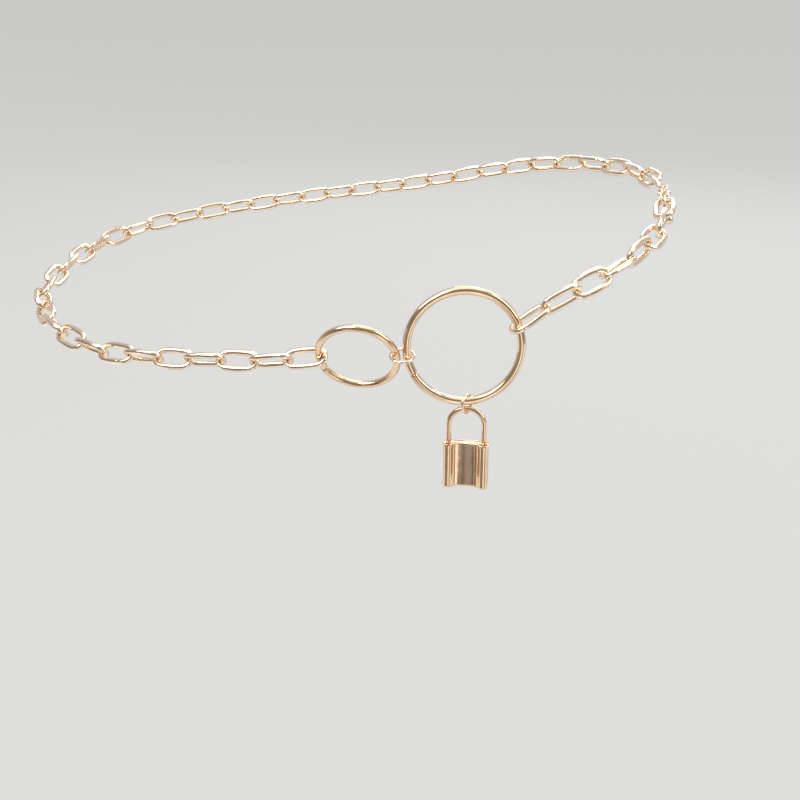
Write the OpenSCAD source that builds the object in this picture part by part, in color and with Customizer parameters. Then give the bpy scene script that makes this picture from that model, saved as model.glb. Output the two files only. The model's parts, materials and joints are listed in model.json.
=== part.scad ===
// Waist chain of oval links with two plain rings and a small hanging padlock.
// It is drawn as it is worn: a closed loop round the hips, seen with +Z up.
// The front of the wearer is towards -Y and the wearer's left side towards +X.
// The origin is the middle of the loop, on the axis of the wearer's body.

/* [Loop] */
// Width of the worn loop across the hips, between the middles of the links
loop_w = 344; // [310:1:380]
// Depth of the worn loop from front to back, between the middles of the links
loop_d = 224; // [200:1:250]
// Rise of the worn loop from its lowest link to its highest
loop_rise = 77; // [60:1:90]
// Squareness of the loop seen from above, where 2 is an ellipse
loop_square = 2.6; // [2.2:0.1:3]

/* [Links] */
// Outer length of a link
link_l = 22.4; // [20:0.1:25]
// Outer width of a link
link_w = 11.4; // [11:0.1:12.5]
// Thickness of the link wire
link_wire = 2.4; // [2:0.1:2.6]
// Number of links between the big ring and the end ring
short_side_links = 8; // [6:2:8]
// Gap left between two wires that bear on each other
joint_gap = 0.25; // [0.2:0.05:0.35]

/* [Rings] */
// Outer diameter of the big ring
big_ring_d = 58; // [50:0.5:66]
// Wire thickness of the big ring
big_ring_wire = 4; // [3.4:0.1:4.2]
// Place of the big ring round the loop, from the front towards the wearer's left
big_ring_at = 37.5; // [33:0.5:42]
// Height of the middle of the big ring
big_ring_z = -24.5; // [-34:1:-14]
// Outer diameter of the small ring
small_ring_d = 41.4; // [34:0.2:48]
// Wire thickness of the small ring
small_ring_wire = 3.5; // [3:0.1:3.8]
// Lean of the small ring, with its top away from the body
small_ring_lean = 28; // [0:1:32]
// Width of the cut where each ring wire butts against itself
ring_seam = 0.3; // [0.2:0.05:0.6]
// Outer diameter of the round connector between the two rings
connector_d = 12.6; // [12.2:0.1:14]
// Wire thickness of the connector
connector_wire = 1.7; // [1.4:0.1:1.8]

/* [Padlock] */
// Outer diameter of the jump ring that carries the padlock
lock_ring_d = 10; // [9.6:0.1:12]
// Wire thickness of that jump ring
lock_ring_wire = 1.2; // [1:0.1:1.3]
// Width of the padlock body
lock_w = 21.8; // [21.4:0.1:23.6]
// Height of the padlock body with its rim
lock_h = 23; // [18:0.1:26]
// Thickness of the padlock body at its middle
lock_t = 4.4; // [4:0.1:5]
// How far the two side lobes stand in front of the middle
lobe_out = 2.7; // [2.4:0.1:3]
// How far the rim at the top stands out from the body
rim_out = 0.4; // [0.2:0.1:0.6]
// Height of the rim
rim_h = 1; // [0.6:0.1:1.6]
// Depth of the top face inside the rim
rim_deep = 0.5; // [0.3:0.1:0.6]
// Wall of the rim
rim_wall = 0.6; // [0.4:0.1:0.8]
// Distance between the two legs of the shackle
leg_gap = 17.2; // [16.4:0.1:17.6]
// Wire thickness of the shackle
shackle_wire = 2.5; // [2.1:0.05:2.6]
// Height of the shackle above the body
shackle_h = 18.8; // [14:0.1:24]
// Depth of the leg holes in the body
leg_deep = 5; // [3:0.5:8]
// Clearance round each leg in its hole
leg_clear = 0.1; // [0.1:0.05:0.2]

/* [Closure] */
// Outer diameter of the end ring that the clasp hooks into
end_ring_d = 9; // [8.8:0.1:10]
// Wire thickness of the end ring
end_ring_wire = 1.4; // [1.2:0.1:1.5]
// Outer diameter of the small ring that hangs from the end ring
drop_ring_d = 6.4; // [6.2:0.1:8]
// Wire thickness of that small ring
drop_ring_wire = 1.5; // [1.2:0.1:1.5]
// Outer diameter of the bead at the free end
bead_d = 5.6; // [4.4:0.1:7]
// Outer diameter of the eye on the bead
bead_eye_d = 4.4; // [4.2:0.1:5]
// Wire thickness of the eye on the bead
bead_eye_wire = 0.9; // [0.8:0.1:1]
// Length of the clasp
clasp_l = 15; // [14:0.1:18]
// Width of the clasp across its claw
clasp_w = 7.6; // [7.4:0.1:9]
// Thickness of the clasp
clasp_t = 2.2; // [1.8:0.1:2.3]
// Wall of the claw round its hole
clasp_wall = 1.6; // [1.4:0.1:1.7]
// Outer diameter of the eye of the clasp
clasp_eye_d = 5; // [4.8:0.1:5.6]
// Wire thickness of the eye of the clasp
clasp_eye_wire = 1.2; // [1:0.1:1.3]
// Outer diameter of the jump ring between the clasp and the long side
clasp_ring_d = 7.8; // [7.6:0.1:9]
// Wire thickness of that jump ring
clasp_ring_wire = 1.3; // [1.1:0.1:1.4]

/* [Hidden] */

gold = [0.89, 0.76, 0.62];

// Height of the chain at chosen places round the loop, as [angle from the front, share of the rise].
// The loop sits higher on the wearer's left hip and dips in front.
route_heights = [[-150, 0.08], [-110, -0.13], [-75, -0.34], [-50, -0.51], [-34, -0.5], [-18, -0.49],
                 [-4, -0.53], [36, -0.38], [50, -0.04], [64, 0.14], [78, 0.26], [92, 0.4],
                 [125, 0.47], [165, 0.26]];
// Each end of the chain runs into its ring over this part of the loop, in degrees
route_fade = 35;
route_steps = 720;

// Places on a ring are clock angles: 0 points to the wearer's left and 90 up
big_ring_chain_clock = 20;
big_ring_connector_clock = 189.5;
big_ring_seam_clock = 209;
small_ring_connector_clock = 6;
small_ring_chain_clock = 183;
small_ring_seam_clock = 207;
lock_clock = 274.2;
// Turn of the padlock's jump ring, with its back towards the wearer's left
lock_ring_turn = 34;
// Turn of the padlock itself, with its face towards the wearer's right
lock_turn = 10;

// Roll of a piece about the line of the chain, where 0 is flat on the body
// and a positive roll turns its upper side towards the body
connector_roll = 73;
short_side_rolls = [84, -26, 38, -73, -6, 61, -5];
last_link_turn = 116;
long_side_roll = 44;

wire_fn = 24;
bend_fn = 72;

// The plan of the loop
function loop_radius(a) =
    (pow(abs(sin(a)) / (loop_w / 2), loop_square) + pow(abs(cos(a)) / (loop_d / 2), loop_square))
        ^ (-1 / loop_square);
function loop_plan(a) = loop_radius(a) * [sin(a), -cos(a), 0];
function loop_facing(a) = let (run = loop_plan(a + 0.5) - loop_plan(a - 0.5)) atan2(run.y, run.x);

// The height of the loop: one smooth curve through route_heights, closed on itself
stations = len(route_heights);
function station(i) =
    let (turn = floor(i / stations), at = route_heights[i - turn * stations])
        [at[0] + 360 * turn, at[1] * loop_rise];
function curve_value(p, a) =
    let (span = p[2][0] - p[1][0], t = (a - p[1][0]) / span,
         slope_in = (p[2][1] - p[0][1]) / (p[2][0] - p[0][0]),
         slope_out = (p[3][1] - p[1][1]) / (p[3][0] - p[1][0]))
        (2 * t ^ 3 - 3 * t ^ 2 + 1) * p[1][1] + (t ^ 3 - 2 * t ^ 2 + t) * span * slope_in
            + (3 * t ^ 2 - 2 * t ^ 3) * p[2][1] + (t ^ 3 - t ^ 2) * span * slope_out;
function loop_height(a) =
    let (i = max([for (k = [-stations:2 * stations]) if (station(k)[0] <= a) k]))
        curve_value([station(i - 1), station(i), station(i + 1), station(i + 2)], a);
function loop_point(a) = loop_plan(a) + [0, 0, loop_height(a)];
function around(p) = atan2(p.x, -p.y);

// Places on a ring that stands upright with its face turned by yaw and its top leant outwards
function unit(v) = v / norm(v);
function ring_place(centre, radius, clock, yaw, lean) =
    centre + radius * (cos(clock) * [cos(yaw), sin(yaw), 0]
                       + sin(clock) * [sin(lean) * sin(yaw), -sin(lean) * cos(yaw), cos(lean)]);

big_ring_r = (big_ring_d - big_ring_wire) / 2;
big_ring_yaw = loop_facing(big_ring_at);
big_ring_centre = loop_plan(big_ring_at) + [0, 0, big_ring_z];
big_ring_inside = big_ring_r - big_ring_wire / 2 - joint_gap / 2;

// The connector holds the two ring wires apart by what its hole leaves
rings_apart = connector_d - 2 * connector_wire - 2 * joint_gap - (big_ring_wire + small_ring_wire) / 2;
small_ring_r = (small_ring_d - small_ring_wire) / 2;
small_ring_x = big_ring_centre.x - big_ring_r - rings_apart - small_ring_r;
small_ring_yaw = loop_facing(atan2(small_ring_x, loop_d / 2));
connector_yaw = (big_ring_yaw + small_ring_yaw) / 2;
connector_way = [cos(connector_yaw), sin(connector_yaw), 0];
connector_big_end = ring_place(big_ring_centre, big_ring_r, big_ring_connector_clock, big_ring_yaw, 0);
connector_small_end = connector_big_end - rings_apart * connector_way;
small_ring_centre = connector_small_end
    - ring_place([0, 0, 0], small_ring_r, small_ring_connector_clock, small_ring_yaw, small_ring_lean);
small_ring_inside = small_ring_r - small_ring_wire / 2 - joint_gap / 2;

// The strand runs from the big ring round the wearer's left side and back to the small ring
strand_start = ring_place(big_ring_centre, big_ring_inside, big_ring_chain_clock, big_ring_yaw, 0);
strand_end = ring_place(small_ring_centre, small_ring_inside, small_ring_chain_clock, small_ring_yaw,
                        small_ring_lean);
start_angle = around(strand_start);
end_angle = around(strand_end) + 360;
start_shift = strand_start - loop_point(start_angle);
end_shift = strand_end - loop_point(end_angle);
function fade(a) = let (t = min(1, max(0, a / route_fade))) 1 - (3 * t ^ 2 - 2 * t ^ 3);
function strand_point(a) =
    loop_point(a) + fade(a - start_angle) * start_shift + fade(end_angle - a) * end_shift;
strand = [for (i = [0:route_steps])
    strand_point(start_angle + (end_angle - start_angle) * i / route_steps)];
strand_run = [for (i = 0, s = 0; i <= route_steps;
                   s = s + (i < route_steps ? norm(strand[i + 1] - strand[i]) : 0), i = i + 1) s];
strand_length = strand_run[route_steps];
function strand_at(s) =
    [for (axis = [0:2]) lookup(s, [for (i = [0:route_steps]) [strand_run[i], strand[i][axis]]])];

// Each piece of the strand takes up the inside of its own opening, less the gap
closure_steps = [end_ring_d - 2 * end_ring_wire - joint_gap,
                 clasp_l - clasp_wall - clasp_eye_wire - 2 * joint_gap,
                 clasp_ring_d - 2 * clasp_ring_wire - joint_gap];
closure_length = closure_steps[0] + closure_steps[1] + closure_steps[2];
longest_step = link_l - 2 * link_wire - joint_gap;
// An odd count keeps the links at both ends square to what they hook into
link_count = 2 * ceil(((strand_length - closure_length) / longest_step - 1) / 2) + 1;
link_step = (strand_length - closure_length) / link_count;
long_side_links = link_count - short_side_links;
closure_start = short_side_links * link_step;
long_side_start = closure_start + closure_length;
closure_joints = [for (s = [closure_start,
                            closure_start + closure_steps[0],
                            long_side_start - closure_steps[2],
                            long_side_start]) strand_at(s)];
function short_side_joint(k) = strand_at(k * link_step);
function long_side_joint(k) = strand_at(long_side_start + k * link_step);
function square_to(roll) = roll > 0 ? roll - 90 : roll + 90;
function long_side_turn(k) = (long_side_links - k) % 2 == 1 ? long_side_roll : square_to(long_side_roll);
clasp_roll = square_to(long_side_turn(0));
end_ring_roll = square_to(clasp_roll);
function short_side_turn(k) =
    k == short_side_links - 1 ? end_ring_roll - last_link_turn : short_side_rolls[k];

// Puts a piece that lies along X, with its upper side towards Y, between two joints
module between(start, end, roll) {
    along = unit(end - start);
    outward = unit(cross(along, [0, 0, 1]));
    upper = cos(roll) * cross(outward, along) - sin(roll) * outward;
    face = cross(along, upper);
    middle = (start + end) / 2;
    multmatrix([[along.x, upper.x, face.x, middle.x],
                [along.y, upper.y, face.y, middle.y],
                [along.z, upper.z, face.z, middle.z],
                [0, 0, 0, 1]])
        children();
}

// A bent wire in the XY plane
module bend(radius, wire, from, sweep)
    rotate([0, 0, from])
        rotate_extrude(angle = sweep, $fn = bend_fn)
            translate([radius, 0])
                circle(d = wire, $fn = wire_fn);

module wire_ring(outer_d, wire)
    rotate_extrude($fn = bend_fn)
        translate([(outer_d - wire) / 2, 0])
            circle(d = wire, $fn = wire_fn);

// A ring whose wire ends butt at one place, with a narrow cut between them
module butted_ring(outer_d, wire, seam_clock) {
    radius = (outer_d - wire) / 2;
    cut = 360 * ring_seam / (2 * PI * radius);
    bend(radius, wire, seam_clock + cut / 2, 360 - cut);
}

module upright(centre, yaw, lean)
    translate(centre)
        rotate([90 + lean, 0, yaw])
            children();

// One oval link: two round ends and two straight sides
module link() {
    bend_r = (link_w - link_wire) / 2;
    straight = link_l - link_w;
    for (end = [0, 180])
        rotate([0, 0, end]) {
            translate([straight / 2, 0, 0])
                bend(bend_r, link_wire, -90, 180);
            translate([0, bend_r, 0])
                rotate([0, 90, 0])
                    cylinder(d = link_wire, h = straight, center = true, $fn = wire_fn);
        }
}

module right_chain()
    color(gold)
        for (k = [0:short_side_links - 1])
            between(short_side_joint(k), short_side_joint(k + 1), short_side_turn(k))
                link();

module left_chain()
    color(gold)
        for (k = [0:long_side_links - 1])
            between(long_side_joint(k), long_side_joint(k + 1), long_side_turn(k))
                link();

module big_ring()
    color(gold)
        upright(big_ring_centre, big_ring_yaw, 0)
            butted_ring(big_ring_d, big_ring_wire, big_ring_seam_clock);

module small_ring()
    color(gold)
        upright(small_ring_centre, small_ring_yaw, small_ring_lean)
            butted_ring(small_ring_d, small_ring_wire, small_ring_seam_clock);

module ring_connector()
    color(gold)
        between(connector_small_end, connector_big_end, connector_roll)
            translate([(big_ring_wire - small_ring_wire) / 4, 0, 0])
                wire_ring(connector_d, connector_wire);

// The padlock hangs beside the lowest point of the big ring
hang_point = ring_place(big_ring_centre, big_ring_r, lock_clock, big_ring_yaw, 0);
lock_ring_hole_r = lock_ring_d / 2 - lock_ring_wire;
lock_ring_drop = lock_ring_hole_r - big_ring_wire / 2 - joint_gap;
lock_ring_centre = hang_point - [0, 0, lock_ring_drop];
sway_point = lock_ring_centre - [0, 0, lock_ring_hole_r + lock_ring_wire / 2];
shackle_top_z = sway_point.z + (lock_ring_wire + shackle_wire) / 2 + joint_gap;
lock_top_z = shackle_top_z + shackle_wire / 2 - shackle_h;
lock_place = [hang_point.x, hang_point.y, lock_top_z];
lock_yaw = big_ring_yaw - lock_turn;

module lock_jump_ring()
    color(gold)
        upright(lock_ring_centre, big_ring_yaw + 90 - lock_ring_turn, 0)
            wire_ring(lock_ring_d, lock_ring_wire);

// The shackle: a round bow and two legs that reach into the body
leg_end_gap = 1;
module lock_shackle() {
    bow_r = leg_gap / 2;
    leg_top = shackle_h - shackle_wire / 2 - bow_r;
    leg_bottom = leg_end_gap - leg_deep;
    color(gold)
        translate(lock_place)
            rotate([0, 0, lock_yaw]) {
                translate([0, 0, leg_top])
                    rotate([90, 0, 0])
                        bend(bow_r, shackle_wire, 0, 180);
                for (side = [-1, 1])
                    translate([side * bow_r, 0, leg_bottom])
                        cylinder(d = shackle_wire, h = leg_top - leg_bottom, $fn = wire_fn);
            }
}

// Outline of the padlock body from above: a flat back, a thinner middle and a lobe round each leg
lobe_r = (lock_w - leg_gap) / 2;
back_corner = 1.4;
// The hollow between the lobes runs into each of them a little, which leaves a faint crease
lobe_fillet = 3;
lobe_bite = 0.08;
// The legs stand over the middle of the body's weight, so that it hangs upright
legs_from_back = 2.93;
module lock_outline(grow) {
    back = legs_from_back + grow;
    middle = legs_from_back - lock_t - grow;
    lobe_y = legs_from_back - lock_t - lobe_out + lobe_r;
    half = lock_w / 2 + grow;
    corner = back_corner + grow;
    fillet = lobe_fillet - grow;
    fillet_y = middle - fillet;
    fillet_x = leg_gap / 2 - sqrt((lobe_r + lobe_fillet - lobe_bite) ^ 2 - (lobe_y - fillet_y) ^ 2);
    translate([-half + corner, middle])
        square([2 * (half - corner), back - middle]);
    for (side = [-1, 1]) {
        translate([side * (half - corner), back - corner])
            circle(r = corner, $fn = wire_fn);
        translate([side * leg_gap / 2, lobe_y])
            circle(r = lobe_r + grow, $fn = wire_fn);
        polygon([[side * leg_gap / 2, lobe_y], [side * half, lobe_y],
                 [side * half, back - corner], [side * leg_gap / 2, back - corner]]);
        difference() {
            polygon([[side * leg_gap / 2, lobe_y], [side * fillet_x, fillet_y],
                     [side * fillet_x, back - corner], [side * leg_gap / 2, back - corner]]);
            translate([side * fillet_x, fillet_y])
                circle(r = fillet, $fn = wire_fn);
        }
    }
}

module lock_body()
    color(gold)
        translate(lock_place)
            rotate([0, 0, lock_yaw])
                difference() {
                    union() {
                        translate([0, 0, -lock_h])
                            linear_extrude(lock_h - rim_h)
                                lock_outline(0);
                        translate([0, 0, -rim_h])
                            linear_extrude(rim_h)
                                lock_outline(rim_out);
                    }
                    translate([0, 0, -rim_deep])
                        linear_extrude(2 * rim_deep)
                            lock_outline(rim_out - rim_wall);
                    for (side = [-1, 1])
                        translate([side * leg_gap / 2, 0, -leg_deep])
                            cylinder(d = shackle_wire + 2 * leg_clear, h = leg_deep + rim_h, $fn = wire_fn);
                }

// The closure on the wearer's left hip
module end_ring()
    color(gold)
        between(closure_joints[0], closure_joints[1], end_ring_roll)
            wire_ring(end_ring_d, end_ring_wire);

// The free end: a small ring and a bead that hang from the lower side of the end ring
end_way = unit(closure_joints[1] - closure_joints[0]);
end_outward = unit(cross(end_way, [0, 0, 1]));
end_upper = cos(end_ring_roll) * cross(end_outward, end_way) - sin(end_ring_roll) * end_outward;
free_end = (closure_joints[0] + closure_joints[1]) / 2
    - end_upper * (end_ring_d - end_ring_wire) / 2;
free_yaw = atan2(end_way.y, end_way.x);
drop_ring_hole_r = drop_ring_d / 2 - drop_ring_wire;
drop_ring_centre = free_end - [0, 0, drop_ring_hole_r - end_ring_wire / 2 - joint_gap];
bead_eye_r = (bead_eye_d - bead_eye_wire) / 2;
bead_eye_centre = drop_ring_centre
    - [0, 0, drop_ring_hole_r - joint_gap - bead_eye_wire / 2 + bead_eye_r];

module drop_ring()
    color(gold)
        upright(drop_ring_centre, free_yaw + 90, 0)
            wire_ring(drop_ring_d, drop_ring_wire);

module end_drop()
    color(gold) {
        upright(bead_eye_centre, free_yaw, 0)
            wire_ring(bead_eye_d, bead_eye_wire);
        translate(bead_eye_centre - [0, 0, bead_eye_r + bead_d / 2 - bead_eye_wire / 4])
            sphere(d = bead_d, $fn = 48);
    }

// A plain claw clasp: a flat teardrop with a hole for the end ring, and a round eye
module clasp_blade(inset) {
    big_r = clasp_w / 2 - inset;
    small_r = clasp_eye_d / 3 - inset / 2;
    big_x = clasp_w / 2 - clasp_l / 2;
    small_x = clasp_l / 2 - clasp_eye_d - small_r / 2 - inset;
    lean = acos((big_r - small_r) / (small_x - big_x));
    translate([big_x, 0])
        circle(r = big_r, $fn = 48);
    translate([small_x, 0])
        circle(r = small_r, $fn = 48);
    polygon([[big_x + big_r * cos(lean), big_r * sin(lean)],
             [small_x + small_r * cos(lean), small_r * sin(lean)],
             [small_x + small_r * cos(lean), -small_r * sin(lean)],
             [big_x + big_r * cos(lean), -big_r * sin(lean)]]);
}

module clasp()
    color(gold)
        between(closure_joints[1], closure_joints[2], clasp_roll)
            translate([(clasp_eye_wire - clasp_wall) / 2, 0, 0]) {
                difference() {
                    linear_extrude(clasp_t, center = true)
                        clasp_blade(0);
                    linear_extrude(2 * clasp_t, center = true)
                        clasp_blade(clasp_wall);
                }
                translate([(clasp_l - clasp_eye_d) / 2, 0, 0])
                    rotate([90, 0, 0])
                        wire_ring(clasp_eye_d, clasp_eye_wire);
            }

module clasp_jump_ring()
    color(gold)
        between(closure_joints[2], closure_joints[3], clasp_roll)
            wire_ring(clasp_ring_d, clasp_ring_wire);

right_chain();
left_chain();
big_ring();
small_ring();
ring_connector();
lock_jump_ring();
lock_shackle();
lock_body();
end_ring();
drop_ring();
end_drop();
clasp();
clasp_jump_ring();
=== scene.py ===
"""Dresses the waist chain: polished links and rings, padlock, closure, and a plain studio."""

import json
import math
import random

import bmesh
import bpy
import numpy as np
from bpy.props import FloatProperty, FloatVectorProperty, IntProperty, PointerProperty
from mathutils import Matrix, Vector


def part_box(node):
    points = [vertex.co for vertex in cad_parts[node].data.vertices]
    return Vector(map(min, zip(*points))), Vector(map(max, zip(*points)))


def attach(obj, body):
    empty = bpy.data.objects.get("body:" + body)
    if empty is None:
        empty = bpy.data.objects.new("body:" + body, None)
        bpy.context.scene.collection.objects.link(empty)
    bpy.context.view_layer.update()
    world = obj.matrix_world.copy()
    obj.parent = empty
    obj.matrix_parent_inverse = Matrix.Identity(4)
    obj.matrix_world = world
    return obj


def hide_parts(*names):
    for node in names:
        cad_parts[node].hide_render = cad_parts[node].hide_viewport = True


bl_info = {
    "name": "Waist chain",
    "version": (1, 0, 0),
    "blender": (4, 5, 0),
    "location": "3D View > Sidebar > Waist chain",
    "description": "Builds the polished pieces of a worn waist chain and a plain studio round it",
    "category": "Add Mesh",
}

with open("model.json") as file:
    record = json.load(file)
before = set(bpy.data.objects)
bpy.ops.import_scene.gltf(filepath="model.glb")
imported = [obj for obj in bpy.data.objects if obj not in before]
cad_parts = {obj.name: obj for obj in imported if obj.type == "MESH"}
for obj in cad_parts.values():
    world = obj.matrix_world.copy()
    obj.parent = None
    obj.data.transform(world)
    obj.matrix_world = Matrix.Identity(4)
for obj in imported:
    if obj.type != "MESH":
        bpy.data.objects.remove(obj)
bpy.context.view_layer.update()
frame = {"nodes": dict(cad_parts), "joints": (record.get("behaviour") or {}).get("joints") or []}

MM = 0.001
UP = Vector((0, 0, 1))

# Links
LINK_STEPS = 80  # points along the centre line of a link
LINK_SEED = 7
BOW_SPREAD = (0.85, 1.15)  # how much the bow differs from link to link
SEAM_STEPS = (24, 64)  # the middles of the two long sides, in points of the centre line
SEAM_HALF = 0.6  # half width of a soldered seam, in points of the centre line

# Butted rings
CUT_ROUNDING = 0.12  # rounding of a cut end, as a share of the wire
PARTED = 0.09  # share of a ring, from each cut end, that bends aside
CAP_STEPS = 4

# Padlock, in its own axes: X across, Y to its back, Z up from the top of the rim
LOCK_BACK = 2.93 * MM  # from the shackle's plane to the flat back
BACK_CORNER = 1.4 * MM
FILLET = 3 * MM  # between a lobe and the panel
RIM_HEIGHT = 1 * MM
RIM_WALL = 0.6 * MM
RIM_DEPTH = 0.5 * MM
RIM_FOOT = 0.25 * MM  # rounding under the rim
RIM_SOFT = 0.22 * MM  # rounding of the rim's outer edge
RIM_LIP = 0.12 * MM  # rounding of the rim's inner edge
LEG_PLAY = 0.12 * MM
LEG_HOLE = 5 * MM
LEG_HOLE_MIDDLE = -3 * MM
LEG_IN_BODY = 4 * MM
LEG_STEPS = 10
BOW_STEPS = 64

# Places of the cut ends, in degrees round each ring from the wearer's left
BIG_RING_CUT, SMALL_RING_CUT, CONNECTOR_CUT, LOCK_RING_CUT = 209, 207, 62, 150
END_RING_CUT, CLASP_RING_CUT, DROP_RING_CUT = 250, 70, 200

# Brightness seen in the room's direction and in the paper's. Height is the upward share of the
# direction, from -1 straight down to 1 straight up.
ROOM_LIGHT = (
    (-1, 1.4),
    (-0.72, 1.25),
    (-0.6, 0.6),
    (-0.3, 0.5),
    (0.0, 0.38),
    (0.3, 0.36),
    (0.7, 0.62),
    (0.82, 0.8),
    (0.88, 2.2),
    (1, 2.4),
)
PAPER_LIGHT = ((-1, 1.3), (-0.9, 0.9), (-0.3, 0.85), (0.4, 0.85), (0.8, 0.8), (0.88, 2.2), (1, 2.4))

# Upright cards that only the polish sees: name, start, end, glow and tint
CARDS = (
    ("card_far_left", (-0.22, -0.43), (-0.1, -0.43), 0.12, (1, 0.85, 0.7)),
    ("card_warm", (-0.075, -0.43), (-0.025, -0.43), 0.6, (1, 0.68, 0.45)),
    ("card_left", (-0.016, -0.43), (0.006, -0.43), 0.12, (1, 1, 1)),
    ("card_middle", (0.085, -0.43), (0.115, -0.43), 0.2, (1, 1, 1)),
    ("card_right", (0.14, -0.43), (0.31, -0.43), 1.3, (1, 1, 1)),
    ("card_left_side", (-0.25, -0.27), (-0.25, 0.15), 0.95, (1, 1, 1)),
    ("card_right_side", (0.42, -0.3), (0.42, 0.15), 0.95, (1, 1, 1)),
)
CARD_BELOW, CARD_ABOVE = 0.1, 0.16  # how far the cards reach below and above the floor's height

# Soft lights: name, place, width and height, power in watts and colour
LAMPS = (
    ("key_light", (-0.9, -1.3, 1.5), (1.7, 1.0), 26, (1, 0.99, 0.97)),
    ("side_light", (1.6, -0.3, 0.9), (0.8, 1.3), 9, (1, 0.99, 0.97)),
    ("back_light", (0.3, 1.7, 1.1), (1.6, 0.7), 13, (1, 1, 1)),
)

# Floor and wall, in metres
FLOOR_RADIUS, WALL_BEND, WALL_HEIGHT = 2.4, 1.4, 4.0
FLOOR_TURNS = 96
BEND_STEPS = 16


# Reading the solids


def triangles(node):
    """Corner points of a solid's triangles, as an array of shape (count, 3, 3)."""
    mesh = frame["nodes"][node].data
    points = np.empty(len(mesh.vertices) * 3)
    mesh.vertices.foreach_get("co", points)
    mesh.calc_loop_triangles()
    corners = np.empty(len(mesh.loop_triangles) * 3, dtype=np.int64)
    mesh.loop_triangles.foreach_get("vertices", corners)
    return points.reshape(-1, 3)[corners].reshape(-1, 3, 3)


def loose_parts(node):
    """The separate solids of a node, each as its own array of triangles."""
    faces = triangles(node)
    keys = np.round(faces.reshape(-1, 3), 6)
    _, index = np.unique(keys, axis=0, return_inverse=True)
    index = index.reshape(-1, 3)
    parent = np.arange(index.max() + 1)

    def root(i):
        while parent[i] != i:
            parent[i] = parent[parent[i]]
            i = parent[i]
        return i

    for a, b, c in index:
        ra = root(a)
        parent[root(b)] = ra
        parent[root(c)] = ra
    owner = np.array([root(i) for i in index[:, 0]])
    return [faces[owner == k] for k in np.unique(owner)]


def lie_of(faces):
    """Middle and three axes of a solid's surface, the longest first."""
    a, b, c = faces[:, 0], faces[:, 1], faces[:, 2]
    area = np.linalg.norm(np.cross(b - a, c - a), axis=1)
    middles = (a + b + c) / 3
    centre = (middles * area[:, None]).sum(0) / area.sum()
    spread = (middles - centre) * np.sqrt(area)[:, None]
    _, axes = np.linalg.eigh(spread.T @ spread)
    x, y = Vector(axes[:, 2]), Vector(axes[:, 1])
    x.normalize()
    y = (y - x * y.dot(x)).normalized()
    points = faces.reshape(-1, 3)
    middle = Vector((0, 0, 0))
    for axis in (x, y, x.cross(y)):
        along = points @ np.array(axis)
        middle += axis * float((along.min() + along.max()) / 2)
    return middle, x, y, x.cross(y)


def reach(faces, axis):
    """Length of a solid along an axis."""
    along = faces.reshape(-1, 3) @ np.array(axis)
    return float(along.max() - along.min())


def seat(middle, x, y, z):
    """The matrix that puts a piece made round its own axes in its place."""
    rows = [(x[i], y[i], z[i], middle[i]) for i in range(3)]
    return Matrix((*rows, (0, 0, 0, 1)))


def ring_seat(node):
    """Place of a round ring: local X and Y in its plane, with Y as near to upright as it goes,
    and X to the left of someone who wears the chain."""
    centre, _, _, z = lie_of(triangles(node))
    if z.dot(Vector((centre.x, centre.y, 0))) < 0:
        z = -z
    up = (UP - z * UP.dot(z)).normalized()
    return seat(centre, up.cross(z), up, z)


# Making wire


def circle(steps):
    """Cosine and sine of each step round a full turn."""
    turns = [2 * math.pi * k / steps for k in range(steps)]
    return [(math.cos(turn), math.sin(turn)) for turn in turns]


def quarter(steps, first=0):
    """Cosine and sine of each step of a quarter turn, from step first on."""
    turns = [math.pi / 2 * k / steps for k in range(first, steps + 1)]
    return [(math.cos(turn), math.sin(turn)) for turn in turns]


def skin(bm, rings, closed=False):
    """Joins each ring of vertices to the next, and the last to the first where closed."""
    count = len(rings[0])
    for here, after in zip(rings, rings[1:] + rings[:1] if closed else rings[1:]):
        for s in range(count):
            t = (s + 1) % count
            bm.faces.new((here[s], here[t], after[t], after[s]))


def wire(bm, path, thick, closed, sides, cap=0.0, groove=None, swell=None):
    """Sweeps a round wire along path. Each path entry is a point, its outward way and its upward way.
    cap is the rounding at the ends of an open wire. groove is a closed wire's soldered seam: its place
    and half width in path steps, and its depth. swell(point) makes the wire thicker by that share."""
    rings = []
    count = len(path)
    around = circle(sides)
    for k, (point, out, up) in enumerate(path):
        radius = thick / 2 * (1 + swell(point) if swell else 1)
        if groove:
            place, half, depth = groove
            off = min(abs(k - place), count - abs(k - place))
            radius -= depth * max(0.0, 1 - off / half)
        rings.append([bm.verts.new(point + out * (radius * c) + up * (radius * s)) for c, s in around])
    skin(bm, rings, closed)
    if not closed:
        close_end(bm, rings[0], rings[1], cap, thick)
        close_end(bm, rings[-1], rings[-2], cap, thick)


def close_end(bm, ring, inner, cap, thick):
    """Rounds the rim of a cut wire end by cap and closes it flat. inner is the ring before the last."""
    middle = sum((v.co for v in ring), Vector()) / len(ring)
    inside = sum((v.co for v in inner), Vector()) / len(inner)
    way = (middle - inside).normalized()
    rims = [ring]
    for c, s in quarter(CAP_STEPS, 1):
        shrink = 1 - cap * (1 - c) / (thick / 2)
        rims.append([bm.verts.new(middle + (v.co - middle) * shrink + way * (cap * s)) for v in ring])
    skin(bm, rims)
    bm.faces.new(rims[-1])


def round_path(radius, steps, start=0.0, sweep=2 * math.pi, closed=True, shift=None):
    """A circular path in the XY plane. shift(t) moves it outwards and upwards along its run."""
    path = []
    for k in range(steps if closed else steps + 1):
        t = k / steps
        turn = start + sweep * t
        out = Vector((math.cos(turn), math.sin(turn), 0))
        outward, upward = shift(t) if shift else (0.0, 0.0)
        path.append((out * (radius + outward) + UP * upward, out, UP))
    return path


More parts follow.
